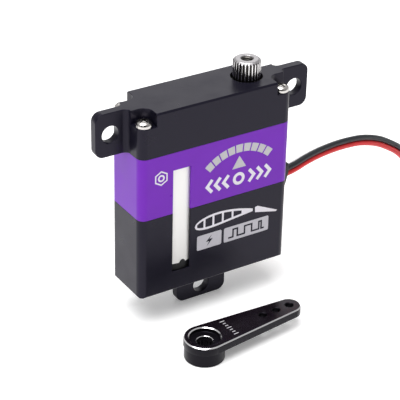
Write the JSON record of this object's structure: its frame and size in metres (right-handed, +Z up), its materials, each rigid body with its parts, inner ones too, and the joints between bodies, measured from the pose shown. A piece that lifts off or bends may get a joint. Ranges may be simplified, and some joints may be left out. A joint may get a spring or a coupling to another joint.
{
  "type": "hobby servo motor",
  "caption": "Slim hobby servo for model wings: three-part metal case with ears, motor and gear train, toothed output shaft, coiled three-wire lead and a loose one-arm horn.",
  "frame": {"origin": "middle of the foot of the lower mounting tab", "axes": "+Z up along the output shaft, +X towards the lead's outlet, +Y to the back of the case, away from the printed face"},
  "size_m": [0.1042, 0.0344, 0.0445],
  "materials": {
    "black_shell": "fine-blasted, black anodised",
    "purple_shell": "fine-blasted, purple anodised",
    "screw_steel": "nickel plated",
    "can_steel": "drawn, bright",
    "dark_steel": "hardened",
    "gear_steel": "machined",
    "gear_brass": "machined",
    "spline_steel": "machined, bright top",
    "bearing_steel": "ground",
    "black_plastic": "moulded",
    "contact_brass": "stamped",
    "board_green": "solder mask",
    "capacitor_tan": "ceramic",
    "grommet_rubber": "moulded",
    "black_insulation": "soft insulation, slight gloss",
    "red_insulation": "soft insulation, slight gloss",
    "white_insulation": "soft insulation, slight gloss",
    "horn_black": "black anodised, diamond-cut edges"
  },
  "bodies": {
    "case": {"top_case": "black_shell", "bottom_case": "black_shell", "middle_case": "purple_shell", "case_screws": "screw_steel", "motor_can": "can_steel", "motor_end_cap": "black_plastic", "motor_magnet": "dark_steel", "motor_screws": "dark_steel", "gear_pins": "dark_steel", "top_bearing_outer": "bearing_steel", "top_bearing_balls": "bearing_steel", "lower_bearing_outer": "bearing_steel", "lower_bearing_balls": "bearing_steel", "potentiometer_body": "black_plastic", "circuit_board": "board_green", "controller_chip": "black_plastic", "driver_chips": "black_plastic", "capacitor": "capacitor_tan", "inner_wires": "red_insulation", "cable_grommet": "grommet_rubber", "black_wire": "black_insulation", "red_wire": "red_insulation", "white_wire": "white_insulation", "lead_coil": "black_insulation", "plug_housing": "black_plastic", "plug_contacts": "contact_brass"},
    "rotor": {"motor_shaft": "gear_steel", "motor_pinion": "gear_brass"},
    "gear_one": {"first_gear": "gear_brass"},
    "gear_two": {"second_gear": "gear_steel"},
    "gear_three": {"third_gear": "gear_steel"},
    "output": {"output_gear": "gear_steel", "output_shaft": "spline_steel", "top_bearing_inner": "bearing_steel", "lower_bearing_inner": "bearing_steel", "potentiometer_wiper": "contact_brass"},
    "horn": {"servo_horn": "horn_black"}
  },
  "joints": [
    {"name": "output_turn", "type": "hinge", "parent": "case", "child": "output", "pos_m": [0.0087, 0, 0.0332], "axis": [0, 0, 1], "range_deg": [-60, 60]},
    {"name": "third_gear_turn", "type": "hinge", "parent": "case", "child": "gear_three", "pos_m": [0.0042, 0, 0.0332], "axis": [0, 0, 1], "range_deg": [-170, 170]},
    {"name": "second_gear_turn", "type": "hinge", "parent": "case", "child": "gear_two", "pos_m": [0.00057, 0, 0.0332], "axis": [0, 0, 1], "range_deg": [-440, 440]},
    {"name": "first_gear_turn", "type": "hinge", "parent": "case", "child": "gear_one", "pos_m": [-0.00313, 0, 0.0332], "axis": [0, 0, 1], "range_deg": [-1580, 1580]},
    {"name": "rotor_turn", "type": "hinge", "parent": "case", "child": "rotor", "pos_m": [-0.00688, 0, 0.0332], "axis": [0, 0, 1], "range_deg": [-8260, 8260]},
    {"name": "horn_lift", "type": "slide", "parent": "case", "child": "horn", "axis": [0, 0, 1], "range_m": [0, 0.012]}
  ],
  "couplings": [
    {"joint": "third_gear_turn", "follows": "output_turn", "ratio": -2.75},
    {"joint": "second_gear_turn", "follows": "output_turn", "ratio": 7.2188},
    {"joint": "first_gear_turn", "follows": "output_turn", "ratio": -26.168},
    {"joint": "rotor_turn", "follows": "output_turn", "ratio": 137.38}
  ]
}
